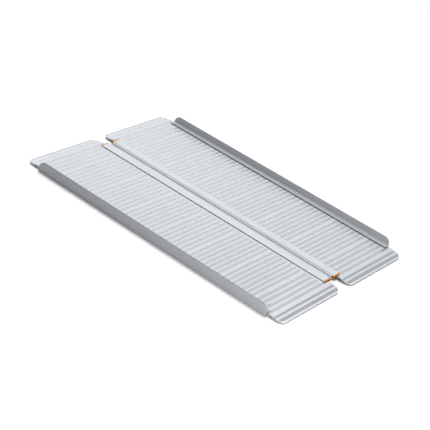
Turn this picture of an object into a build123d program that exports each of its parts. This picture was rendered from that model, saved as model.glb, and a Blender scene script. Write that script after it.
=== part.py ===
from build123d import *
import math
import os

# Folding wheelchair ramp: two half-width panels of transverse aluminium planks,
# clamped along the outside in a kerb profile and along the inside in a hinge
# leaf, and joined by a link with a bead along each edge.
# Millimetres.  X is across the ramp, Y is along the slope, Z is up.
# Origin: on the surface that the open ramp stands on, under its centre.
# Every right-hand piece (positive X) is mirrored to make the left-hand one.

# ---- driving dimensions --------------------------------------------------
RAMP_WIDTH = 778.0          # over the outer faces of the two kerbs
PLANK_PITCH = 150.0         # one transverse plank along the slope
MID_PLANKS = 6              # full planks in each panel
LIP_REACH = 142.0           # last seam to the tip of a lip
DECK_INNER_X = 28.5         # inner end of the planks
DECK_OUTER_X = 382.0        # outer end of the planks
RIB_TOP_Z = 14.7            # walking plane
KERB_HEIGHT = 43.7          # kerb top
PROFILE_HALF_LENGTH = 528.0  # kerbs and hinge leaves along Y

# plank section
RIB_HEIGHT = 2.0
RIB_TOP_WIDTH = 7.4
RIB_SIDE_SLOPE = 1.0        # how far a rib side leans out over its height
RIBS_PER_PLANK = 6
FIRST_RIB_Y = 23.2          # seam to the centre of the first rib
SEAM_LAND_WIDTH = 14.4      # flat band that two planks share over a seam
TOP_SKIN = 1.6
BOTTOM_SKIN = 1.2
PLANK_WEB = 1.5
RIB_CORNER = 0.5
TONGUE_REACH = 3.6
TONGUE_THICK = 2.0
TONGUE_Z = 7.0
TONGUE_BEVEL = 0.5
SLOT_BACK = 2.2             # metal behind the slot that takes a tongue
CELL_CORNER = 1.0
JOINT_GAP = 0.15            # clearance round a tongue and between planks
DRILL_PAST = 0.5            # how far a drilled hole runs past the skin

# lip
LIP_RIB_Y = (24.8, 47.6, 70.4)  # narrow ribs on the flat part, from the seam
LIP_BOX_END = 75.0          # where the hollow part of the lip plank stops
LIP_BEND_Y = 97.0           # centre of the wide band where the lip bends down
LIP_BAND_WIDTH = 14.6
LIP_ANGLE = 8.0             # degrees below the walking plane
LIP_SKIN = 2.4
LIP_FAR_RIB = 22.0          # bend to the narrow rib on the sloping part
LIP_BEAD_LENGTH = 6.0       # raised bead along the tip
LIP_BEAD_ROUND = 1.3
LIP_BEND_LAP = 0.7          # the sloping skin starts this far behind the bend
LIP_CORNER = 25.0           # plan radius of the lip corners

# kerb and clamp flanges
KERB_WALL = 3.0
KERB_FOOT = 26.0            # width of the flanges that hold the plank ends
FOOT_THICK = 1.9
FLOOR_FLANGE = 1.5          # flange under the planks
KERB_COVE = 6.0
KERB_END_RADIUS = 28.0
STOP_FIN_THICK = 1.5
RELIEF_DEPTH = 4.0          # undercut along the free edge of a flange
RELIEF_HEIGHT = 0.8
FLANGE_BEVEL = 0.4

# hinge
PIVOT_X = 10.5
PIVOT_Z = 10.4
BEAD_RADIUS = 6.0
SOCKET_CLEARANCE = 0.08
SOCKET_WALL = 1.8
SOCKET_OPEN_FROM = 179.98   # degrees round the pivot, just above level
SOCKET_OPEN_TO = 200.0      # degrees round the right-hand bead where its socket starts
SECTOR_STEPS = 6            # straight sides that stand for the sector's arc
LINK_FLAT_Z = 15.1          # flat along the top of each bead
LINK_WEB = 3.2
LINK_SETBACK = 4.0          # leaf end to link end
LINK_FLOAT = 0.3            # end play of the link between the end caps
LEAF_LIP_X = 15.4           # inner edge of the leaf flange, beside the bead
LEAF_FLANGE_TOP_Z = 16.3
LEAF_FLANGE_X = 49.0
LEAF_WALL = 2.0
LEAF_FOOT_X = 46.0
LEAF_HEEL_X = 14.5          # upright under the socket
LEAF_HEEL_TOP_Z = 7.4

# end caps, grip strips, rivets
CAP_THICK = 5.0
CAP_PROUD = 0.3             # cap above and outside the leaf flange
CAP_INNER_X = 12.8
CAP_DROP_X = 28.4
CAP_FOOT_Z = 3.0
CAP_CORNER = 2.0
CAP_BEVEL = 0.5
CAP_PLUG_LENGTH = 14.0
CAP_PLUG_FIT = 0.05
CAP_PLUG_SIDE = 1.0         # space between the plug and the socket wall
CAP_STOP_SHY = 0.2          # stop tab inside the bead's outline
STRIP_LENGTH = 300.0
STRIP_WIDTH = 28.0
STRIP_THICK = 2.4
STRIP_SETOUT = 1.0          # bend to the near edge of a strip
STRIP_CORNER = 0.6
RIVET_SHANK = 2.0
RIVET_HEAD = 3.6
RIVET_FIT = 0.05
RIVET_SETOUT = 42.0         # rivets either side of a plank's centre line
LIP_RIVET_Y = (26.0, 62.0)  # rivets in a lip plank, from the seam
KERB_RIVET_X = 374.0
LEAF_RIVET_X = 38.0
RIVET_BULB = 3.2
RIVET_BULB_LENGTH = 3.0
RIVET_BULB_BEVEL = 1.0

# ---- worked out from the above -------------------------------------------
GROOVE_Z = RIB_TOP_Z - RIB_HEIGHT
DECK_LENGTH_X = DECK_OUTER_X - DECK_INNER_X
DECK_CENTRE_X = (DECK_OUTER_X + DECK_INNER_X) / 2
RIB_PITCH = (PLANK_PITCH - 2 * FIRST_RIB_Y) / (RIBS_PER_PLANK - 1)
DECK_HALF_Y = PLANK_PITCH * MID_PLANKS / 2
KERB_X = RAMP_WIDTH / 2
KERB_INNER_X = KERB_X - KERB_WALL
BAR = 0.02                  # overlap used when joining section pieces


def face_of(points):
    """Flat closed face in the YZ (or XZ) sketch plane through the points."""
    return make_face(Polyline(*points, close=True))


def box_face(y0, y1, z0, z1):
    return face_of([(y0, z0), (y1, z0), (y1, z1), (y0, z1)])


def rib_face(centre, top_width, base_z, top_z, lean=RIB_SIDE_SLOPE):
    """Rib with leaning sides and rounded top corners."""
    half = top_width / 2
    rib = face_of([
        (centre - half - lean, base_z - BAR),
        (centre + half + lean, base_z - BAR),
        (centre + half, top_z),
        (centre - half, top_z),
    ])
    top_corners = rib.vertices().group_by(Axis.Y)[-1]
    return fillet(top_corners, RIB_CORNER)


def extrude_x(section, x0, x1):
    """Sketch (u, v) becomes (Y, Z), drawn out along X from x0 to x1."""
    placed = Plane.YZ * section
    return Pos(x0, 0, 0) * extrude(placed, x1 - x0)


def extrude_y(section, y0, y1):
    """Sketch (u, v) becomes (X, Z), drawn out along Y from y0 to y1."""
    placed = Plane.XZ * section
    return Pos(0, y1, 0) * extrude(placed, y1 - y0)


# ---- planks ---------------------------------------------------------------
def half_land(y_edge, direction):
    """Half of the flat band over a seam, with a small bevel at the seam."""
    inner = y_edge + direction * SEAM_LAND_WIDTH / 2
    foot = inner + direction * RIB_SIDE_SLOPE
    bevel = y_edge + direction * RIB_CORNER
    return face_of([
        (y_edge, GROOVE_Z - BAR),
        (foot, GROOVE_Z - BAR),
        (inner, RIB_TOP_Z),
        (bevel, RIB_TOP_Z),
        (y_edge, RIB_TOP_Z - RIB_CORNER),
    ])


def hollow(y0, y1):
    """Rounded cell between the skins of a plank."""
    height = GROOVE_Z - TOP_SKIN - FLOOR_FLANGE - BOTTOM_SKIN
    centre_z = FLOOR_FLANGE + BOTTOM_SKIN + height / 2
    return Pos((y0 + y1) / 2, centre_z) * RectangleRounded(y1 - y0, height, CELL_CORNER)


def tongue(y_edge, direction):
    """Tongue that enters the next plank."""
    half = TONGUE_THICK / 2
    tip = y_edge + direction * TONGUE_REACH
    shoulder = tip - direction * TONGUE_BEVEL
    return face_of([
        (y_edge - direction * BAR, TONGUE_Z - half),
        (shoulder, TONGUE_Z - half),
        (tip, TONGUE_Z - half + TONGUE_BEVEL),
        (tip, TONGUE_Z + half - TONGUE_BEVEL),
        (shoulder, TONGUE_Z + half),
        (y_edge - direction * BAR, TONGUE_Z + half),
    ])


def groove_block(y_edge, direction):
    """Thick wall with the slot that takes a tongue."""
    depth = TONGUE_REACH + SLOT_BACK
    half = TONGUE_THICK / 2 + JOINT_GAP
    block = box_face(
        min(y_edge, y_edge + direction * depth),
        max(y_edge, y_edge + direction * depth),
        TONGUE_Z - half - PLANK_WEB,
        TONGUE_Z + half + PLANK_WEB,
    )
    slot_end = y_edge + direction * (TONGUE_REACH + JOINT_GAP)
    slot = box_face(
        min(y_edge - direction, slot_end),
        max(y_edge - direction, slot_end),
        TONGUE_Z - half,
        TONGUE_Z + half,
    )
    return block, slot


def mid_plank_section():
    """Full plank from y = 0 to the pitch: slot at y = 0, tongue at the far side."""
    start = JOINT_GAP / 2
    end = PLANK_PITCH - JOINT_GAP / 2
    section = box_face(start, end, FLOOR_FLANGE, GROOVE_Z)
    rib_centres = [FIRST_RIB_Y + RIB_PITCH * i for i in range(RIBS_PER_PLANK)]
    web_centres = [rib_centres[1], rib_centres[-2]]
    edges = [start + PLANK_WEB]
    for centre in web_centres:
        edges += [centre - PLANK_WEB / 2, centre + PLANK_WEB / 2]
    edges.append(end - PLANK_WEB)
    for left, right in zip(edges[0::2], edges[1::2]):
        section -= hollow(left, right)
    for centre in rib_centres:
        section += rib_face(centre, RIB_TOP_WIDTH, GROOVE_Z, RIB_TOP_Z)
    section += half_land(start, 1)
    section += half_land(end, -1)
    block, slot = groove_block(start, 1)
    section += block
    section -= slot
    section += tongue(end, 1)
    return section


def lip_section(has_tongue):
    """Lip plank: seam at y = 0, tip in the +Y direction."""
    start = JOINT_GAP / 2
    section = box_face(start, LIP_BOX_END, FLOOR_FLANGE, GROOVE_Z)
    middle = LIP_RIB_Y[1]
    section -= hollow(start + PLANK_WEB, middle - PLANK_WEB / 2)
    section -= hollow(middle + PLANK_WEB / 2, LIP_BOX_END - PLANK_WEB)
    if has_tongue:
        section += tongue(start, -1)
    else:
        block, slot = groove_block(start, 1)
        section += block
        section -= slot
    section += half_land(start, 1)
    for centre in LIP_RIB_Y:
        section += rib_face(centre, RIB_TOP_WIDTH, GROOVE_Z, RIB_TOP_Z)
    skin_bottom = GROOVE_Z - LIP_SKIN
    section += box_face(LIP_BOX_END - BAR, LIP_BEND_Y + BAR, skin_bottom, GROOVE_Z)

    # sloping part, drawn level with the bend at its origin, then turned down
    run = (LIP_REACH - LIP_BEND_Y) / math.cos(math.radians(LIP_ANGLE))
    half_band = LIP_BAND_WIDTH / 2
    slope = box_face(-LIP_BEND_LAP, run - LIP_BEAD_ROUND, -RIB_HEIGHT - LIP_SKIN, -RIB_HEIGHT)
    slope += face_of([
        (0, -RIB_HEIGHT - BAR),
        (half_band + RIB_SIDE_SLOPE, -RIB_HEIGHT - BAR),
        (half_band, 0),
        (0, 0),
    ])
    slope += rib_face(LIP_FAR_RIB, RIB_TOP_WIDTH, -RIB_HEIGHT, 0)
    nose_z = -(RIB_HEIGHT + LIP_SKIN) / 2
    nose = Pos(run - LIP_BEAD_LENGTH / 2, nose_z) * RectangleRounded(
        LIP_BEAD_LENGTH, RIB_HEIGHT + LIP_SKIN, LIP_BEAD_ROUND)
    slope += nose
    section += face_of([
        (LIP_BEND_Y - half_band - RIB_SIDE_SLOPE, GROOVE_Z - BAR),
        (LIP_BEND_Y, GROOVE_Z - BAR),
        (LIP_BEND_Y, RIB_TOP_Z),
        (LIP_BEND_Y - half_band, RIB_TOP_Z),
    ])
    section += Pos(LIP_BEND_Y, RIB_TOP_Z) * Rot(0, 0, -LIP_ANGLE) * slope
    return section


def rivet_hole(x, y):
    """Clearance through the bottom skin for a rivet shank."""
    reach = FLOOR_FLANGE + BOTTOM_SKIN + DRILL_PAST
    return Pos(x, y, 0) * Cylinder(RIVET_SHANK + RIVET_FIT, 2 * reach)


def mid_rivet_ys(index):
    centre = -DECK_HALF_Y + PLANK_PITCH * (index + 0.5)
    return [centre - RIVET_SETOUT, centre + RIVET_SETOUT]


def lip_rivet_ys(end):
    return [end * (DECK_HALF_Y + y) for y in LIP_RIVET_Y]


def all_rivet_ys():
    ys = lip_rivet_ys(-1)
    for index in range(MID_PLANKS):
        ys += mid_rivet_ys(index)
    return ys + lip_rivet_ys(1)


def drill(part, ys):
    for y in ys:
        part -= rivet_hole(KERB_RIVET_X, y)
        part -= rivet_hole(LEAF_RIVET_X, y)
    return part


def mid_plank(index):
    plank = extrude_x(mid_plank_section(), DECK_INNER_X, DECK_OUTER_X)
    plank = Pos(0, -DECK_HALF_Y + PLANK_PITCH * index, 0) * plank
    return drill(plank, mid_rivet_ys(index))


def turned_to_end(part, end):
    """Move a piece drawn from a seam at y = 0 to one end of the right-hand panel."""
    if end < 0:
        part = Pos(DECK_CENTRE_X, 0, 0) * Rot(0, 0, 180) * Pos(-DECK_CENTRE_X, 0, 0) * part
    return Pos(0, end * DECK_HALF_Y, 0) * part


def lip_plank(end):
    """end = -1 for the lower lip, 1 for the upper lip."""
    plank = extrude_x(lip_section(has_tongue=(end < 0)), DECK_INNER_X, DECK_OUTER_X)
    outline = Rectangle(DECK_LENGTH_X, 2 * LIP_REACH)
    outline = fillet(outline.vertices(), LIP_CORNER)
    plank = plank & (Pos(DECK_CENTRE_X, 0, 0) * extrude(outline, KERB_HEIGHT))
    plank = turned_to_end(plank, end)
    return drill(plank, lip_rivet_ys(end))


# ---- kerb -----------------------------------------------------------------
def clamp_flange(root_x, edge_x, top_z):
    """Flange lying on the rib tops, undercut along its free edge."""
    out = math.copysign(1, edge_x - root_x)
    relief_x = edge_x - out * RELIEF_DEPTH
    return face_of([
        (root_x, RIB_TOP_Z),
        (relief_x, RIB_TOP_Z),
        (relief_x, RIB_TOP_Z + RELIEF_HEIGHT),
        (edge_x, RIB_TOP_Z + RELIEF_HEIGHT),
        (edge_x, top_z - FLANGE_BEVEL),
        (edge_x - out * FLANGE_BEVEL, top_z),
        (root_x, top_z),
    ])


def kerb_section():
    """Outer wall, two flanges round the plank ends and a stop fin."""
    wall = box_face(KERB_INNER_X, KERB_X, 0, KERB_HEIGHT)
    wall = fillet(wall.vertices().group_by(Axis.Y)[-1], KERB_WALL / 2 - BAR)
    foot_top = RIB_TOP_Z + FOOT_THICK
    foot_x = KERB_X - KERB_FOOT
    foot = clamp_flange(KERB_INNER_X + BAR, foot_x, foot_top)
    cove = face_of([
        (KERB_INNER_X - KERB_COVE, foot_top - BAR),
        (KERB_INNER_X + BAR, foot_top - BAR),
        (KERB_INNER_X + BAR, foot_top + KERB_COVE),
        (KERB_INNER_X, foot_top + KERB_COVE),
    ])
    cove -= Pos(KERB_INNER_X - KERB_COVE, foot_top + KERB_COVE) * Circle(KERB_COVE)
    floor = box_face(foot_x, KERB_INNER_X + BAR, 0, FLOOR_FLANGE)
    fin_z = (FLOOR_FLANGE + RIB_TOP_Z) / 2
    fin = box_face(DECK_OUTER_X, KERB_INNER_X + BAR,
                   fin_z - STOP_FIN_THICK / 2, fin_z + STOP_FIN_THICK / 2)
    return wall + foot + cove + floor + fin


def rivet_cone(x, y):
    """Countersink in a floor flange for a flush rivet head."""
    return Pos(x, y, FLOOR_FLANGE / 2) * Cone(RIVET_HEAD, RIVET_SHANK, FLOOR_FLANGE)


def kerb():
    part = extrude_y(kerb_section(), -PROFILE_HALF_LENGTH, PROFILE_HALF_LENGTH)
    # rounded upper corner at each end of the wall
    side = Rectangle(2 * PROFILE_HALF_LENGTH, 2 * KERB_HEIGHT)
    side = fillet(side.vertices(), KERB_END_RADIUS)
    part = part & extrude_x(side, KERB_X - 2 * KERB_FOOT, KERB_X + KERB_FOOT)
    for y in all_rivet_ys():
        part -= rivet_cone(KERB_RIVET_X, y)
    return part


# ---- hinge ----------------------------------------------------------------
def sector(radius, start_deg, end_deg):
    """Pie slice round the pivot, for cutting the mouth of a socket."""
    points = [(PIVOT_X, PIVOT_Z)]
    steps = SECTOR_STEPS
    for i in range(steps + 1):
        angle = math.radians(start_deg + (end_deg - start_deg) * i / steps)
        reach = radius / math.cos(math.radians((end_deg - start_deg) / steps / 2))
        points.append((PIVOT_X + reach * math.cos(angle), PIVOT_Z + reach * math.sin(angle)))
    return face_of(points)


def leaf_section():
    """Hinge leaf: flange over the ribs, plank channel and bead socket."""
    socket_bore = BEAD_RADIUS + SOCKET_CLEARANCE
    socket_outer = socket_bore + SOCKET_WALL
    clear_x = PIVOT_X - 2 * socket_outer
    clear_z = PIVOT_Z + 2 * socket_outer
    section = Pos(PIVOT_X, PIVOT_Z) * Circle(socket_outer)
    section -= box_face(clear_x, LEAF_LIP_X, PIVOT_Z, clear_z)
    section -= box_face(clear_x, LEAF_FLANGE_X, LEAF_FLANGE_TOP_Z, clear_z)
    section -= sector(socket_outer + SOCKET_WALL, SOCKET_OPEN_FROM, SOCKET_OPEN_TO)
    section += clamp_flange(LEAF_LIP_X, LEAF_FLANGE_X, LEAF_FLANGE_TOP_Z)
    section += box_face(LEAF_LIP_X, DECK_INNER_X, RIB_TOP_Z - LEAF_WALL, RIB_TOP_Z + BAR)
    section += box_face(DECK_INNER_X - LEAF_WALL, DECK_INNER_X, 0, RIB_TOP_Z)
    section += box_face(LEAF_HEEL_X, LEAF_FOOT_X, 0, FLOOR_FLANGE)
    section += box_face(LEAF_HEEL_X, LEAF_HEEL_X + LEAF_WALL, 0, LEAF_HEEL_TOP_Z)
    section -= Pos(PIVOT_X, PIVOT_Z) * Circle(socket_bore)
    return section


def hinge_leaf():
    part = extrude_y(leaf_section(), -PROFILE_HALF_LENGTH, PROFILE_HALF_LENGTH)
    for y in all_rivet_ys():
        part -= rivet_cone(LEAF_RIVET_X, y)
    return part


def link_section():
    """Two beads with flats on top, joined by a web."""
    section = box_face(-PIVOT_X, PIVOT_X, PIVOT_Z - LINK_WEB / 2, PIVOT_Z + LINK_WEB / 2)
    for side in (-1, 1):
        section += Pos(side * PIVOT_X, PIVOT_Z) * Circle(BEAD_RADIUS)
    section -= box_face(-2 * PIVOT_X, 2 * PIVOT_X, LINK_FLAT_Z, LINK_FLAT_Z + BEAD_RADIUS)
    return section


def hinge_link():
    half = PROFILE_HALF_LENGTH - LINK_SETBACK
    return extrude_y(link_section(), -half, half)


# ---- end caps, grip strips and rivets ---------------------------------------
def along_end(section, end, start, stop):
    """Section drawn out along Y between two distances past the end of a leaf."""
    near = end * (PROFILE_HALF_LENGTH + start)
    far = end * (PROFILE_HALF_LENGTH + stop)
    return extrude_y(section, min(near, far), max(near, far))


def end_cap(end):
    """Plastic cap on one end of the right-hand leaf.

    A plug holds it in the leaf's chamber, and a tab in the socket stops the link.
    """
    top_z = LEAF_FLANGE_TOP_Z + CAP_PROUD
    plate = box_face(CAP_INNER_X, LEAF_FLANGE_X + CAP_PROUD, RIB_TOP_Z, top_z)
    drop = box_face(CAP_INNER_X, CAP_DROP_X, CAP_FOOT_Z, RIB_TOP_Z + BAR)
    plate += fillet(drop.vertices().group_by(Axis.Y)[0], CAP_CORNER)
    part = along_end(plate, end, 0, CAP_THICK)
    rim = part.faces().filter_by(Axis.Y).sort_by(Axis.Y)[-1 if end > 0 else 0]
    part = chamfer(rim.edges(), CAP_BEVEL)

    chamber_x0 = PIVOT_X + BEAD_RADIUS + SOCKET_CLEARANCE + SOCKET_WALL
    chamber_x1 = DECK_INNER_X - LEAF_WALL
    plug = box_face(chamber_x0 + CAP_PLUG_SIDE, chamber_x1 - CAP_PLUG_FIT,
                    FLOOR_FLANGE + CAP_PLUG_FIT, RIB_TOP_Z - LEAF_WALL - CAP_PLUG_FIT)
    part += along_end(plug, end, -CAP_PLUG_LENGTH, BAR)

    tab = Pos(PIVOT_X, PIVOT_Z) * Circle(BEAD_RADIUS - CAP_STOP_SHY)
    tab &= box_face(CAP_INNER_X, PIVOT_X + BEAD_RADIUS, CAP_FOOT_Z, PIVOT_Z)
    part += along_end(tab, end, LINK_FLOAT - LINK_SETBACK, BAR)
    return part


def grip_strip(end):
    """Rubber strip under the sloping part of a lip, following its slope."""
    bar = RectangleRounded(STRIP_WIDTH, STRIP_THICK, STRIP_CORNER)
    section = Pos(STRIP_SETOUT + STRIP_WIDTH / 2, -RIB_HEIGHT - LIP_SKIN - STRIP_THICK / 2) * bar
    section = Pos(LIP_BEND_Y, RIB_TOP_Z) * Rot(0, 0, -LIP_ANGLE) * section
    half = STRIP_LENGTH / 2
    return turned_to_end(extrude_x(section, DECK_CENTRE_X - half, DECK_CENTRE_X + half), end)


def rivet(x, y):
    """Blind rivet: flush head, shank, and a bulb set on the plank's bottom skin."""
    grip = FLOOR_FLANGE + BOTTOM_SKIN
    outline = face_of([
        (0, 0),
        (RIVET_HEAD, 0),
        (RIVET_SHANK, FLOOR_FLANGE),
        (RIVET_SHANK, grip),
        (RIVET_BULB, grip),
        (RIVET_BULB, grip + RIVET_BULB_LENGTH - RIVET_BULB_BEVEL),
        (RIVET_BULB - RIVET_BULB_BEVEL, grip + RIVET_BULB_LENGTH),
        (0, grip + RIVET_BULB_LENGTH),
    ])
    return Pos(x, y, 0) * revolve(Plane.XZ * outline, Axis.Z)


def rivet_row(x):
    return Compound([rivet(x, y) for y in all_rivet_ys()])


# ---- export ---------------------------------------------------------------
def save(name, shape):
    export_step(shape, "parts/" + name + ".step")
    print(name, "volume", round(shape.volume))


def save_pair(name, right_shape):
    """Write the right-hand piece and its mirror image on the left."""
    save("right_" + name, right_shape)
    save("left_" + name, mirror(right_shape, about=Plane.YZ))


def main():
    os.makedirs("parts", exist_ok=True)
    for index in range(MID_PLANKS):
        save_pair("deck_plank_" + str(index + 1), mid_plank(index))
    save_pair("lower_lip_plank", lip_plank(-1))
    save_pair("upper_lip_plank", lip_plank(1))
    save_pair("kerb", kerb())
    save_pair("hinge_leaf", hinge_leaf())
    save("hinge_link", hinge_link())
    save_pair("lower_hinge_cap", end_cap(-1))
    save_pair("upper_hinge_cap", end_cap(1))
    save_pair("lower_grip_strip", grip_strip(-1))
    save_pair("upper_grip_strip", grip_strip(1))
    for side, sign in (("right", 1), ("left", -1)):
        save(side + "_kerb_rivets", rivet_row(sign * KERB_RIVET_X))
        save(side + "_hinge_rivets", rivet_row(sign * LEAF_RIVET_X))


main()
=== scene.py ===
import math

import bmesh
import bpy
from mathutils import Euler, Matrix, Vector


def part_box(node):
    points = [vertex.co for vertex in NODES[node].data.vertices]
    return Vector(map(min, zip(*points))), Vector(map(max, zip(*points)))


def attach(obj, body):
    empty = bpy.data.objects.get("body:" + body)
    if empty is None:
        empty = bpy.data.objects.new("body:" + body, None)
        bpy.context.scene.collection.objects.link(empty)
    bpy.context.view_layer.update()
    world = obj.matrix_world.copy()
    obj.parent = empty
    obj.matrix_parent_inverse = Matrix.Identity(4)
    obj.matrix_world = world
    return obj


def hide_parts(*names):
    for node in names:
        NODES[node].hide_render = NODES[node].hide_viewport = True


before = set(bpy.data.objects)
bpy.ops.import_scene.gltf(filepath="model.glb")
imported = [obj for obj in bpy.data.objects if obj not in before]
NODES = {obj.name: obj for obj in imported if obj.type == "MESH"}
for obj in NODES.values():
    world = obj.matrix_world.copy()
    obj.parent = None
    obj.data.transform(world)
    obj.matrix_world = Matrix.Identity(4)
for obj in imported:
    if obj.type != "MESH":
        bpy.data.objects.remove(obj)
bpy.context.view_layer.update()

MM = 0.001

# ---- places taken from the frame ---------------------------------------------
DECK_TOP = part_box("right_deck_plank_3")[1].z
RIB_HEIGHT = 2.0 * MM
PLANK_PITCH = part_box("right_deck_plank_4")[0].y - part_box("right_deck_plank_3")[0].y
LIP_FLAT = 97.0 * MM        # flat part of a lip plank, before its bend
LIP_BEND_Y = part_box("right_upper_lip_plank")[0].y + LIP_FLAT
LIP_TIP_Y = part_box("right_upper_lip_plank")[1].y
LIP_ANGLE = math.radians(8.0)
LEAF_EDGE_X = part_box("right_hinge_leaf")[1].x
LEAF_END_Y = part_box("right_hinge_leaf")[1].y
KERB_FOOT_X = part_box("right_kerb")[0].x
KERB_SIDE_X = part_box("right_kerb")[1].x
KERB_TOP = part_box("right_kerb")[1].z
LINK_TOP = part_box("hinge_link")[1].z

# ---- camera: sight line, turn and lens ------------------------------------------
SIGHT_AZIMUTH = 58.81       # degrees from +Y towards +X
SIGHT_ELEVATION = 28.97     # degrees above the deck
CAMERA_ROLL = 15.17
CAMERA_DISTANCE = 4.893
CAMERA_AIM = Vector((-0.0492, -0.0362, DECK_TOP))
CAMERA_CLIP_END = 60.0
LENS_MM = 113.5

# ---- studio ---------------------------------------------------------------------
WORLD_STRENGTH = 1.4
# sine of the elevation, grey level, blue tint
WORLD_STOPS = (
    (0.00, 0.86, 0.02),
    (0.36, 0.98, 0.03),
    (0.46, 0.96, 0.03),
    (0.54, 0.53, 0.04),
    (0.62, 0.25, 0.04),
    (0.80, 0.18, 0.03),
    (1.00, 0.31, 0.03),
)
# dimming of the surround along X: where it is full, where it ends, and the level it drops to
LEFT_DIM = (-0.65, -0.05, 0.25)
RIGHT_DIM = (0.95, 0.60, 0.46)
# lamps: place, aim, size in metres, power in watts, colour
KEY_LAMP = ((1.2, 1.0, 5.6), (0, 0, 0), (2.6, 2.6), 270, (1.0, 0.985, 0.97))
FRONT_LAMP = ((-1.5, -0.95, 0.14), (-0.39, -0.5, 0), (0.5, 0.2), 16, (1.0, 0.99, 0.98))
FLOOR_HALF = 14.0


def add_camera():
    azimuth = math.radians(SIGHT_AZIMUTH)
    elevation = math.radians(SIGHT_ELEVATION)
    sight = Vector((
        math.sin(azimuth) * math.cos(elevation),
        math.cos(azimuth) * math.cos(elevation),
        -math.sin(elevation),
    ))
    data = bpy.data.cameras.new("camera")
    data.lens = LENS_MM
    data.clip_end = CAMERA_CLIP_END
    camera = bpy.data.objects.new("camera", data)
    bpy.context.collection.objects.link(camera)
    roll = Euler((0, 0, math.radians(CAMERA_ROLL))).to_quaternion()
    camera.location = CAMERA_AIM - sight * CAMERA_DISTANCE
    camera.rotation_mode = "QUATERNION"
    camera.rotation_quaternion = sight.to_track_quat("-Z", "Y") @ roll
    bpy.context.scene.camera = camera


# ---- light ------------------------------------------------------------------------
def add_area(name, place, aim, size, power, colour):
    data = bpy.data.lights.new(name, "AREA")
    data.shape = "RECTANGLE"
    data.size, data.size_y = size
    data.energy = power
    data.color = colour
    lamp = bpy.data.objects.new(name, data)
    lamp.location = place
    lamp.rotation_euler = (Vector(aim) - Vector(place)).to_track_quat("-Z", "Y").to_euler()
    lamp.visible_camera = False
    bpy.context.collection.objects.link(lamp)


def add_world():
    """Studio surround: bright near the horizon, greyer overhead, dimmer on the left and right."""
    world = bpy.data.worlds.new("studio")
    world.use_nodes = True
    nodes, links = world.node_tree.nodes, world.node_tree.links
    nodes.clear()
    out = nodes.new("ShaderNodeOutputWorld")
    back = nodes.new("ShaderNodeBackground")
    back.inputs["Strength"].default_value = WORLD_STRENGTH
    split = nodes.new("ShaderNodeSeparateXYZ")
    coords = nodes.new("ShaderNodeTexCoord")
    links.new(coords.outputs["Generated"], split.inputs[0])

    ramp = nodes.new("ShaderNodeValToRGB")
    stops = ramp.color_ramp.elements
    stops.remove(stops[-1])
    for index, (place, level, tint) in enumerate(WORLD_STOPS):
        stop = stops[0] if index == 0 else stops.new(place)
        stop.position = place
        stop.color = (level, level + tint / 2, level + tint, 1.0)
    links.new(split.outputs["Z"], ramp.inputs[0])

    colour = ramp.outputs[0]
    for full, none, level in (LEFT_DIM, RIGHT_DIM):
        side = nodes.new("ShaderNodeMapRange")
        side.interpolation_type = "SMOOTHSTEP"
        side.inputs["From Min"].default_value = full
        side.inputs["From Max"].default_value = none
        side.inputs["To Min"].default_value = level
        side.inputs["To Max"].default_value = 1.0
        links.new(split.outputs["X"], side.inputs["Value"])
        shade = nodes.new("ShaderNodeMix")
        shade.data_type = "RGBA"
        shade.blend_type = "MULTIPLY"
        shade.inputs[0].default_value = 1.0
        links.new(colour, shade.inputs[6])
        links.new(side.outputs[0], shade.inputs[7])
        colour = shade.outputs[2]
    links.new(colour, back.inputs["Color"])
    links.new(back.outputs[0], out.inputs["Surface"])
    bpy.context.scene.world = world


def add_studio():
    add_world()
    add_area("key", *KEY_LAMP)
    add_area("front", *FRONT_LAMP)


def add_floor():
    mesh = bpy.data.meshes.new("studio_floor")
    signs = ((-1, -1), (1, -1), (1, 1), (-1, 1))
    corners = [(x * FLOOR_HALF, y * FLOOR_HALF, 0) for x, y in signs]
    mesh.from_pydata(corners, [], [(0, 1, 2, 3)])
    floor = bpy.data.objects.new("studio_floor", mesh)
    bpy.context.collection.objects.link(floor)
    mesh.materials.append(floor_material())


# ---- material building blocks -----------------------------------------------------
BEVEL_SAMPLES = 4
EDGE_COSINES = (0.98, 0.80)     # rounded normal against true one: on a flat, at an edge


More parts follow.
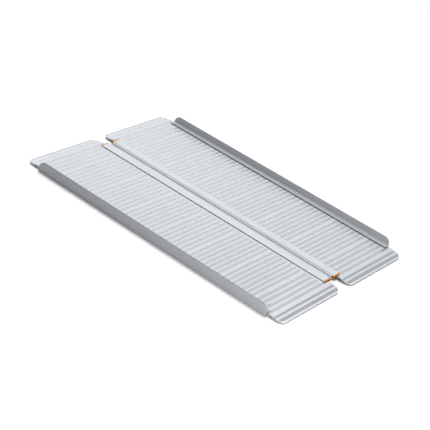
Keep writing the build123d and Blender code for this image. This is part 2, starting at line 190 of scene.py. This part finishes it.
class Surface:
    """A Principled material with short calls for the nodes that feed it."""

    def __init__(self, name):
        self.material = bpy.data.materials.new(name)
        self.material.use_nodes = True
        self.nodes = self.material.node_tree.nodes
        self.links = self.material.node_tree.links
        self.nodes.clear()
        self.out = self.nodes.new("ShaderNodeOutputMaterial")
        self.shader = self.nodes.new("ShaderNodeBsdfPrincipled")
        self.links.new(self.shader.outputs[0], self.out.inputs["Surface"])
        self.coords = self.nodes.new("ShaderNodeTexCoord")

    def put(self, socket, value):
        if isinstance(value, bpy.types.NodeSocket):
            self.links.new(value, socket)
        else:
            socket.default_value = value

    def set(self, base_color, roughness, metallic):
        self.put(self.shader.inputs["Base Color"], base_color)
        self.put(self.shader.inputs["Roughness"], roughness)
        self.put(self.shader.inputs["Metallic"], metallic)

    def maths(self, kind, a, b=0.0):
        node = self.nodes.new("ShaderNodeMath")
        node.operation = kind
        self.put(node.inputs[0], a)
        self.put(node.inputs[1], b)
        return node.outputs[0]

    def times(self, *factors):
        product = factors[0]
        for factor in factors[1:]:
            product = self.maths("MULTIPLY", product, factor)
        return product

    def plus(self, a, b):
        return self.maths("ADD", a, b)

    def minus(self, a, b):
        return self.maths("SUBTRACT", a, b)

    def flip(self, mask):
        return self.minus(1.0, mask)

    def split(self, source, axis):
        node = self.nodes.new("ShaderNodeSeparateXYZ")
        self.links.new(self.coords.outputs[source], node.inputs[0])
        return node.outputs[axis]

    def distance(self, axis):
        """How far a point is from the object's middle plane."""
        return self.maths("ABSOLUTE", self.split("Object", axis))

    def facing(self, axis):
        """1 where the surface faces along the axis, either way."""
        return self.maths("ABSOLUTE", self.split("Normal", axis))

    def noise(self, scale, detail=3.0, roughness=0.55):
        """Noise, scaled along X, Y and Z in features per metre."""
        mapping = self.nodes.new("ShaderNodeMapping")
        self.links.new(self.coords.outputs["Object"], mapping.inputs["Vector"])
        mapping.inputs["Scale"].default_value = scale
        node = self.nodes.new("ShaderNodeTexNoise")
        self.links.new(mapping.outputs[0], node.inputs["Vector"])
        node.inputs["Scale"].default_value = 1.0
        node.inputs["Detail"].default_value = detail
        node.inputs["Roughness"].default_value = roughness
        return node.outputs["Fac"]

    def spread(self, value, low, high, to_low=0.0, to_high=1.0, smooth=True):
        """Map the range low..high onto to_low..to_high and hold its ends."""
        node = self.nodes.new("ShaderNodeMapRange")
        node.interpolation_type = "SMOOTHSTEP" if smooth else "LINEAR"
        self.put(node.inputs["Value"], value)
        node.inputs["From Min"].default_value = low
        node.inputs["From Max"].default_value = high
        node.inputs["To Min"].default_value = to_low
        node.inputs["To Max"].default_value = to_high
        return node.outputs[0]

    def by_mask(self, mask, at_zero, at_one, smooth=True):
        """at_zero where the mask is 0, at_one where it is 1."""
        return self.spread(mask, 0.0, 1.0, at_zero, at_one, smooth)

    def mix(self, amount, a, b):
        node = self.nodes.new("ShaderNodeMix")
        node.data_type = "RGBA"
        self.put(node.inputs[0], amount)
        self.put(node.inputs[6], a)
        self.put(node.inputs[7], b)
        return node.outputs[2]

    def bevel(self, radius):
        node = self.nodes.new("ShaderNodeBevel")
        node.samples = BEVEL_SAMPLES
        node.inputs["Radius"].default_value = radius
        return node.outputs[0]

    def edge(self, radius):
        """1 beside an edge, within the radius, and 0 on flats."""
        geometry = self.nodes.new("ShaderNodeNewGeometry")
        dot = self.nodes.new("ShaderNodeVectorMath")
        dot.operation = "DOT_PRODUCT"
        self.links.new(self.bevel(radius), dot.inputs[0])
        self.links.new(geometry.outputs["Normal"], dot.inputs[1])
        return self.spread(dot.outputs["Value"], *EDGE_COSINES)

    def bump(self, height, distance, strength, radius):
        """Relief from a height, over edges rounded by the radius."""
        node = self.nodes.new("ShaderNodeBump")
        node.inputs["Strength"].default_value = strength
        node.inputs["Distance"].default_value = distance
        self.put(node.inputs["Height"], height)
        self.links.new(self.bevel(radius), node.inputs["Normal"])
        self.links.new(node.outputs[0], self.shader.inputs["Normal"])


def grey(level, tint=0.03):
    """Aluminium colour: a grey level with a little more blue."""
    return (level - tint / 2, level, level + tint, 1.0)


# ---- colours ---------------------------------------------------------------------------
# each pair of colours is the darker and the lighter end of a material's own variation
GROOVE_COLOURS = ((0.69, 0.71, 0.725, 1), (0.73, 0.75, 0.765, 1))
RIB_COLOURS = ((0.60, 0.615, 0.66, 1), (0.64, 0.655, 0.70, 1))
LEAF_COLOURS = ((0.635, 0.65, 0.69, 1), (0.675, 0.69, 0.73, 1))
LINK_COLOURS = ((0.58, 0.595, 0.625, 1), (0.63, 0.645, 0.675, 1))
KERB_COLOURS = ((0.39, 0.40, 0.42, 1), (0.44, 0.45, 0.47, 1))
RIVET_COLOURS = (grey(0.50), grey(0.60))
CAP_COLOURS = ((0.60, 0.222, 0.002, 1), (0.66, 0.252, 0.004, 1))
CAP_WORN = (0.74, 0.30, 0.03, 1)
# painted shade for the caps' end faces
CAP_ENDS_PAINTED_SHADE = (0.14, 0.022, 0.0, 1)
RUBBER_COLOURS = ((0.018, 0.018, 0.019, 1), (0.07, 0.068, 0.064, 1))
FLOOR_COLOURS = (grey(0.92, 0.0), grey(0.935, 0.0))

# painted light: rib flanks coloured lighter to fill their shade, lighter still at the lip's tip
FLANK_PAINTED_LIGHT = grey(0.75, 0.02)
TIP_FLANK_PAINTED_LIGHT = grey(0.95, 0.02)
DECK_CLOUD = grey(0.58, 0.02)
WHEEL_TRACK = grey(0.78)
# painted shade: dark grey for the painted shadow lines on the planks and the shaded side walls of
# the hinge flanges
PAINTED_SHADE = grey(0.13, 0.01)
JOINT_HAIRLINE = grey(0.07, 0.01)
# painted shade: sawn plank ends under the hinge flanges
SAWN_IN_PAINTED_SHADE = (grey(0.20, 0.01), grey(0.34, 0.01))
SAWN_BRIGHT = (grey(0.52), grey(0.62))
DRAWN_CLOUD = grey(0.42, 0.02)
WORN_EDGE = grey(0.80)
# painted shade for the link's steep walls and sunk parts
LINK_PAINTED_SHADE = grey(0.10, 0.01)
# painted shadow line along the kerb foot's free edge
KERB_FOOT_SHADOW_LINE = grey(0.12, 0.01)
# painted light: lighter colour for the level top of the kerb foot
KERB_FOOT_PAINTED_LIGHT = grey(0.56)
# painted shade along the kerb's top edge
KERB_TOP_PAINTED_SHADE = grey(0.26, 0.01)
# painted shade on the kerb's outer face
KERB_OUTSIDE_PAINTED_SHADE = grey(0.16, 0.01)

# ---- noise scales, in features per metre along X, Y and Z --------------------------------
RIB_LINES = (9, 1500, 1500)
GROOVE_MOTTLE = (160, 420, 420)
DECK_CLOUDS = (14, 22, 22)
WHEEL_TRACKS = (260, 5, 260)
# ragged edge of the painted shadow lines on the planks
SHADOW_LINE_GRAIN = (300, 300, 300)
SAW_TEETH = (200, 60, 2400)
DRAWN_LINES = (1500, 7, 1500)
DRAWN_SCUFFS = (500, 60, 500)
DRAWN_CLOUDS = (30, 10, 30)
CAP_GRAIN = (2600, 2600, 2600)
CAP_CLOUDS = (120, 120, 120)
RUBBER_GRAIN = (1800, 1800, 1800)
RUBBER_DUST = (60, 60, 60)
FLOOR_GRAIN = (3, 3, 3)
# the parts of the noise's range that most of it and nearly all of it lie in
MOST = (0.3, 0.7)
NEARLY_ALL = (0.2, 0.8)

# ---- widths of the looks on the planks, in metres -----------------------------------------
RIB_TOP_HEIGHT = (0.9 * MM, 1.9 * MM)       # over the groove, where the rib top takes over
LIP_TIP_REACH = (-6.0 * MM, -4.0 * MM)      # from the lip's tip, where its flanks are painted lighter
PANEL_SWITCH = 1.0 * MM                     # either side of the middle
DECK_END_SWITCH = 1.0 * MM                  # either side of the end of the hinge leaves
# painted shadow line on the planks: its widths, extra width on rib tops, raggedness and edge
SHADOW_LINE_WIDTH_LEFT = 1.2 * MM
SHADOW_LINE_WIDTH_RIGHT = 3.4 * MM
SHADOW_LINE_EXTRA_ON_RIBS = 4.0 * MM
SHADOW_LINE_RAGGED = 0.3 * MM
SHADOW_LINE_EDGE = (-0.4 * MM, 1.0 * MM)
JOINT_HALF_WIDTH = (0.3 * MM, 0.8 * MM)
UNDERSIDE_DEPTH = (-7.0 * MM, -6.0 * MM)    # under the deck's top
DULL_REACH = (2.0 * MM, 16.0 * MM)          # how far the dull end of a groove fades out

# ---- widths of the looks on the drawn profiles, in metres ---------------------------------
LEAF_OUTER_WALL = (-6.0 * MM, -5.0 * MM)    # from the flange's free edge
LINK_SUNK_DEPTH = (-0.8 * MM, -2.8 * MM)    # under the top of the beads
KERB_FOOT_EDGE = (0.2 * MM, 0.7 * MM)       # from the foot's free edge
KERB_FOOT_TOP = (3.0 * MM, 5.0 * MM)        # over the deck
# how far the painted light on the kerb foot reaches
KERB_FOOT_LIGHT_REACH = (8.0 * MM, 24.0 * MM)     # from the foot's free edge
KERB_TOP_BAND = (-2.6 * MM, -0.6 * MM)      # under the top edge
KERB_SIDE_BAND = (-1.2 * MM, -0.4 * MM)     # from the outer face


def shifted(place, band):
    """A band of two distances, measured from a place."""
    return place + band[0], place + band[1]


# ---- materials -----------------------------------------------------------------------
def height_above_groove(s):
    """Height over the groove floor in metres, following the slope of the lips."""
    beyond = s.minus(s.distance("Y"), LIP_BEND_Y)
    drop = s.times(s.maths("MAXIMUM", beyond, 0.0), math.tan(LIP_ANGLE))
    height = s.plus(s.split("Object", "Z"), drop)
    return s.minus(height, DECK_TOP - RIB_HEIGHT)


def measure_planks(s):
    """Masks and distances that the plank's colour and finish share."""
    s.top = s.spread(height_above_groove(s), *RIB_TOP_HEIGHT)
    s.flank = s.spread(s.facing("Y"), 0.35, 0.75)
    s.sawn = s.spread(s.facing("X"), 0.6, 0.9)
    s.right = s.spread(s.split("Object", "X"), -PANEL_SWITCH, PANEL_SWITCH)
    end = shifted(LEAF_END_Y, (-DECK_END_SWITCH, DECK_END_SWITCH))
    s.on_deck = s.spread(s.distance("Y"), *end, 1.0, 0.0)
    # distance to the hinge flange on the left panel, to the kerb foot on the right one
    from_leaf = s.minus(s.distance("X"), LEAF_EDGE_X)
    from_kerb = s.minus(KERB_FOOT_X, s.distance("X"))
    s.gap = s.plus(s.times(from_leaf, s.flip(s.right)), s.times(from_kerb, s.right))


def plank_metal(s, lines, mottle):
    """Clean metal: mottled grooves, satin rib tops, and rib flanks painted lighter against their
    shade, lightest near the lip's tip.
    """
    groove = s.mix(s.spread(mottle, *MOST), *GROOVE_COLOURS)
    satin = s.mix(s.spread(lines, *MOST), *RIB_COLOURS)
    # painted light on the flanks grows towards the lip's tip
    tip = s.spread(s.distance("Y"), *shifted(LIP_TIP_Y, LIP_TIP_REACH))
    return s.mix(s.flank, s.mix(s.top, groove, satin), s.mix(tip, FLANK_PAINTED_LIGHT, TIP_FLANK_PAINTED_LIGHT))


def add_plank_wear(s, colour):
    """Faint clouds, and the tracks that wheels leave along the slope."""
    cloud = s.noise(DECK_CLOUDS, 3.0)
    colour = s.mix(s.spread(cloud, *NEARLY_ALL, 0.0, 0.08), colour, DECK_CLOUD)
    tracks = s.noise(WHEEL_TRACKS, 3.0, 0.6)
    rubbed = s.times(s.spread(tracks, 0.62, 0.78), s.top)
    return s.mix(s.times(rubbed, 0.25), colour, WHEEL_TRACK)


def add_painted_shadow_lines(s, colour):
    """Painted shadow lines along the left hinge flange and the right kerb foot, wider on the rib
    tops.
    """
    ragged = s.spread(s.noise(SHADOW_LINE_GRAIN, 4.0), *NEARLY_ALL, -SHADOW_LINE_RAGGED, SHADOW_LINE_RAGGED)
    reach = s.minus(s.plus(s.gap, ragged), s.times(s.top, SHADOW_LINE_EXTRA_ON_RIBS))
    reach = s.minus(reach, s.by_mask(s.right, SHADOW_LINE_WIDTH_LEFT, SHADOW_LINE_WIDTH_RIGHT))
    shadow_line = s.times(s.spread(reach, *SHADOW_LINE_EDGE, 1.0, 0.0), s.by_mask(s.top, 0.45, 0.88))
    return s.mix(s.times(shadow_line, s.on_deck), colour, PAINTED_SHADE)


def add_joint_hairlines(s, colour):
    """Dark hairlines on the underside where planks meet."""
    from_joint = s.maths("PINGPONG", s.split("Object", "Y"), PLANK_PITCH / 2)
    joint = s.spread(from_joint, *JOINT_HALF_WIDTH, 0.85, 0.0)
    under = s.spread(s.split("Object", "Z"), *shifted(DECK_TOP, UNDERSIDE_DEPTH), 1.0, 0.0)
    return s.mix(s.times(joint, under), colour, JOINT_HAIRLINE)


def add_sawn_ends(s, colour):
    """Sawn plank ends with saw-tooth marks, painted dark as shade under the flanges and dressed
    bright on the lips.
    """
    teeth = s.noise(SAW_TEETH, 2.0)
    # sawn ends under the flanges get painted shade
    ends = s.mix(s.on_deck, s.mix(teeth, *SAWN_BRIGHT), s.mix(teeth, *SAWN_IN_PAINTED_SHADE))
    return s.mix(s.sawn, colour, ends)


def plank_finish(s, lines):
    """Roughness and metallic: grooves go dull towards the two edges that carry the painted shadow
    lines.
    """
    reach = s.times(s.gap, s.by_mask(s.right, 1.0, 0.35))
    dull = s.times(s.spread(reach, *DULL_REACH, 1.0, 0.0), s.flip(s.top))
    dull = s.times(dull, s.times(s.on_deck, s.by_mask(s.right, 1.0, 0.45)))
    rough = s.spread(lines, *NEARLY_ALL, 0.22, 0.30, smooth=False)
    rough = s.plus(rough, s.times(s.maths("MAXIMUM", s.top, s.sawn), 0.20))
    rough = s.plus(rough, s.times(s.maths("MAXIMUM", dull, s.flank), 0.24))
    metal = s.by_mask(s.top, 0.9, 0.3, smooth=False)
    metal = s.times(s.minus(metal, s.times(dull, 0.35)), s.flip(s.flank))
    return rough, metal


def plank_material():
    """Ribbed extrusion: satin rib tops, glossier mottled grooves, lines along X."""
    s = Surface("plank_aluminium")
    measure_planks(s)
    lines = s.noise(RIB_LINES, 2.0)
    mottle = s.noise(GROOVE_MOTTLE, 4.0, 0.7)
    colour = plank_metal(s, lines, mottle)
    for layer in (add_plank_wear, add_painted_shadow_lines, add_joint_hairlines, add_sawn_ends):
        colour = layer(s, colour)
    s.set(colour, *plank_finish(s, lines))
    s.bump(s.plus(lines, s.times(mottle, 0.5)), 0.02 * MM, 0.25, 0.2 * MM)
    return s.material


def drawn_surface(name, colours, wear):
    """Extrusion drawn along Y: fine lines, faint clouds, and edges rubbed by wear."""
    s = Surface(name)
    s.lines = s.noise(DRAWN_LINES, 2.0)
    s.scuff = s.noise(DRAWN_SCUFFS, 5.0, 0.7)
    cloud = s.noise(DRAWN_CLOUDS, 4.0)
    colour = s.mix(s.spread(s.lines, *MOST), *colours)
    colour = s.mix(s.spread(cloud, 0.35, 0.75, 0.0, 0.12), colour, DRAWN_CLOUD)
    worn = s.times(s.edge(0.7 * MM), s.spread(s.scuff, 0.35, 0.6, 0.2 * wear, wear))
    return s, s.mix(worn, colour, WORN_EDGE)


def finish_drawn(s, colour, metallic, rough):
    """rough is the range of roughness from line to line."""
    s.set(colour, s.spread(s.lines, *NEARLY_ALL, *rough, smooth=False), metallic)
    s.bump(s.plus(s.lines, s.times(s.scuff, 0.5)), 0.03 * MM, 0.5, 0.4 * MM)
    return s.material


def leaf_material():
    """Bright satin flanges with painted shade on their side walls, strongest beside the outer
    edge.
    """
    s, colour = drawn_surface("hinge_aluminium", LEAF_COLOURS, 0.5)
    wall = s.spread(s.facing("X"), 0.75, 0.95)
    outer = s.spread(s.distance("X"), *shifted(LEAF_EDGE_X, LEAF_OUTER_WALL), 0.45, 0.85)
    # painted shade on the flange's side walls, strongest near the outer edge
    colour = s.mix(s.times(wall, outer), colour, PAINTED_SHADE)
    return finish_drawn(s, colour, 0.3, (0.36, 0.46))


def link_material():
    """Beads polished on their flats, with painted shade on their steep walls and in the sunk
    parts between them.
    """
    s, colour = drawn_surface("link_aluminium", LINK_COLOURS, 0.2)
    steep = s.spread(s.facing("X"), 0.60, 0.92)
    sunk = s.spread(s.split("Object", "Z"), *shifted(LINK_TOP, LINK_SUNK_DEPTH))
    # painted shade: steep walls and the sunk parts between the beads darkened
    link_shade = s.maths("MAXIMUM", s.times(sunk, 0.20), s.times(steep, 0.62))
    return finish_drawn(s, s.mix(link_shade, colour, LINK_PAINTED_SHADE), 0.3, (0.38, 0.50))


def kerb_material():
    """Duller drawn profile with painted light and shade: a shadow line along the foot's edge, a
    foot painted lighter, painted shade along the top edge and on the outer face.
    """
    s, colour = drawn_surface("kerb_aluminium", KERB_COLOURS, 0.12)
    out = s.distance("X")
    height = s.split("Object", "Z")
    # painted shadow line along the foot's free edge
    foot_shadow_line = s.spread(out, *shifted(KERB_FOOT_X, KERB_FOOT_EDGE), 0.85, 0.0)
    colour = s.mix(foot_shadow_line, colour, KERB_FOOT_SHADOW_LINE)
    # painted light: the level foot top near its free edge coloured lighter
    level = s.spread(s.facing("Z"), 0.7, 0.95)
    low = s.spread(height, *shifted(DECK_TOP, KERB_FOOT_TOP), 0.7, 0.0)
    foot_light = s.spread(out, *shifted(KERB_FOOT_X, KERB_FOOT_LIGHT_REACH), 1.0, 0.0)
    colour = s.mix(s.times(level, low, foot_light), colour, KERB_FOOT_PAINTED_LIGHT)
    # painted shade: band under the top edge darkened
    top_shade = s.spread(height, *shifted(KERB_TOP, KERB_TOP_BAND), 0.0, 0.75)
    colour = s.mix(top_shade, colour, KERB_TOP_PAINTED_SHADE)
    # painted shade: band at the outer face darkened
    outside_shade = s.spread(out, *shifted(KERB_SIDE_X, KERB_SIDE_BAND), 0.0, 0.50)
    colour = s.mix(outside_shade, colour, KERB_OUTSIDE_PAINTED_SHADE)
    return finish_drawn(s, colour, 0.5, (0.42, 0.55))


def rivet_material():
    s, colour = drawn_surface("rivet_aluminium", RIVET_COLOURS, 0.4)
    return finish_drawn(s, colour, 0.8, (0.32, 0.45))


def cap_material():
    """Orange moulded plastic with a fine spark-eroded grain, and painted shade on its end faces.
    """
    s = Surface("cap_plastic")
    grain = s.noise(CAP_GRAIN, 3.0, 0.6)
    cloud = s.noise(CAP_CLOUDS, 3.0)
    colour = s.mix(s.spread(cloud, *MOST), *CAP_COLOURS)
    colour = s.mix(s.times(s.edge(0.4 * MM), 0.15), colour, CAP_WORN)
    # painted shade on the end faces
    colour = s.mix(s.spread(s.facing("Y"), 0.6, 0.9, 0.0, 0.72), colour, CAP_ENDS_PAINTED_SHADE)
    s.shader.inputs["Specular IOR Level"].default_value = 0.12
    s.set(colour, s.spread(grain, *NEARLY_ALL, 0.50, 0.64, smooth=False), 0.0)
    s.bump(grain, 0.05 * MM, 0.4, 0.3 * MM)
    return s.material


def rubber_material():
    """Dusty black rubber."""
    s = Surface("grip_rubber")
    grain = s.noise(RUBBER_GRAIN, 4.0, 0.65)
    dust = s.noise(RUBBER_DUST, 4.0)
    colour = s.mix(s.spread(dust, 0.45, 0.8, 0.0, 0.5), *RUBBER_COLOURS)
    s.set(colour, s.spread(grain, *NEARLY_ALL, 0.72, 0.9, smooth=False), 0.0)
    s.bump(grain, 0.12 * MM, 0.6, 0.3 * MM)
    return s.material


def floor_material():
    s = Surface("studio_floor")
    s.set(s.mix(s.noise(FLOOR_GRAIN, 2.0), *FLOOR_COLOURS), 0.9, 0.0)
    return s.material


# ---- pieces that replace plain CAD solids ------------------------------------------------
def add_piece(name, build, material, node):
    """Mesh object from a bmesh builder, standing for a CAD node on that node's body."""
    mesh = bpy.data.meshes.new(name)
    shape = bmesh.new()
    build(shape)
    bmesh.ops.recalc_face_normals(shape, faces=shape.faces)
    shape.to_mesh(mesh)
    shape.free()
    mesh.materials.append(material)
    piece = bpy.data.objects.new(name, mesh)
    bpy.context.collection.objects.link(piece)
    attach(piece, node.split("_")[0] + "_panel")
    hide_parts(node)
    return piece


def prism(shape, points, start, stop):
    """Closed prism: one outline at two ends.  start and stop turn (u, v) into a place."""
    near = [shape.verts.new(start(u, v)) for u, v in points]
    far = [shape.verts.new(stop(u, v)) for u, v in points]
    faces = [shape.faces.new(near), shape.faces.new(far)]
    for i in range(len(points)):
        j = (i + 1) % len(points)
        faces.append(shape.faces.new((near[i], near[j], far[j], far[i])))
    return faces


STRIP_WIDTH = 28.0 * MM
STRIP_THICK = 2.4 * MM
STRIP_RIBS = 11
STRIP_STEPS_PER_RIB = 8
STRIP_RIB_DEPTH = 0.8 * MM
STRIP_RIB_FLATTEN = 1.5     # above 1, flattens the foot of each rib
STRIP_END_BEVEL = 0.5 * MM


def strip_outline():
    """Flat top and a row of rounded ribs below, from one edge to the other."""
    half = STRIP_WIDTH / 2
    points = [(-half, STRIP_THICK / 2), (-half, -STRIP_THICK / 2 + STRIP_RIB_DEPTH)]
    steps = STRIP_STEPS_PER_RIB * STRIP_RIBS
    for step in range(1, steps):
        along = step / steps
        wave = 0.5 - 0.5 * math.cos(2 * math.pi * STRIP_RIBS * along)
        depth = STRIP_RIB_DEPTH * min(1.0, STRIP_RIB_FLATTEN * wave)
        points.append((-half + STRIP_WIDTH * along, -STRIP_THICK / 2 + STRIP_RIB_DEPTH - depth))
    return points + [(half, -STRIP_THICK / 2 + STRIP_RIB_DEPTH), (half, STRIP_THICK / 2)]


def add_ribbed_strip(node, material):
    """Ribbed rubber strip under a lip, following its slope."""
    low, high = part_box(node)
    middle = (low + high) / 2
    tilt = -math.copysign(LIP_ANGLE, middle.y)

    def place_at(x):
        def place(u, v):
            return (x, middle.y + u * math.cos(tilt) - v * math.sin(tilt),
                    middle.z + u * math.sin(tilt) + v * math.cos(tilt))
        return place

    def build(shape):
        faces = prism(shape, strip_outline(), place_at(low.x), place_at(high.x))
        rims = {edge for face in faces[:2] for edge in face.edges}
        bmesh.ops.bevel(shape, geom=list(rims), offset=STRIP_END_BEVEL / 2, segments=2,
                        affect="EDGES", clamp_overlap=True)

    add_piece("ribbed_" + node, build, material, node)


def dress(nodes_and_materials):
    """Give each CAD node the first material whose key is in its name."""
    for name, obj in NODES.items():
        for key, material in nodes_and_materials:
            if key in name:
                obj.data.materials.clear()
                obj.data.materials.append(material)
                for slot in obj.material_slots:
                    slot.material = material
                break


def main():
    bpy.context.scene.view_settings.view_transform = "Standard"
    add_camera()
    add_studio()
    add_floor()
    rubber = rubber_material()
    dress([
        ("rivets", rivet_material()),
        ("cap", cap_material()),
        ("strip", rubber),
        ("kerb", kerb_material()),
        ("link", link_material()),
        ("leaf", leaf_material()),
        ("plank", plank_material()),
    ])
    for side in ("left", "right"):
        for end in ("lower", "upper"):
            add_ribbed_strip(side + "_" + end + "_grip_strip", rubber)


main()
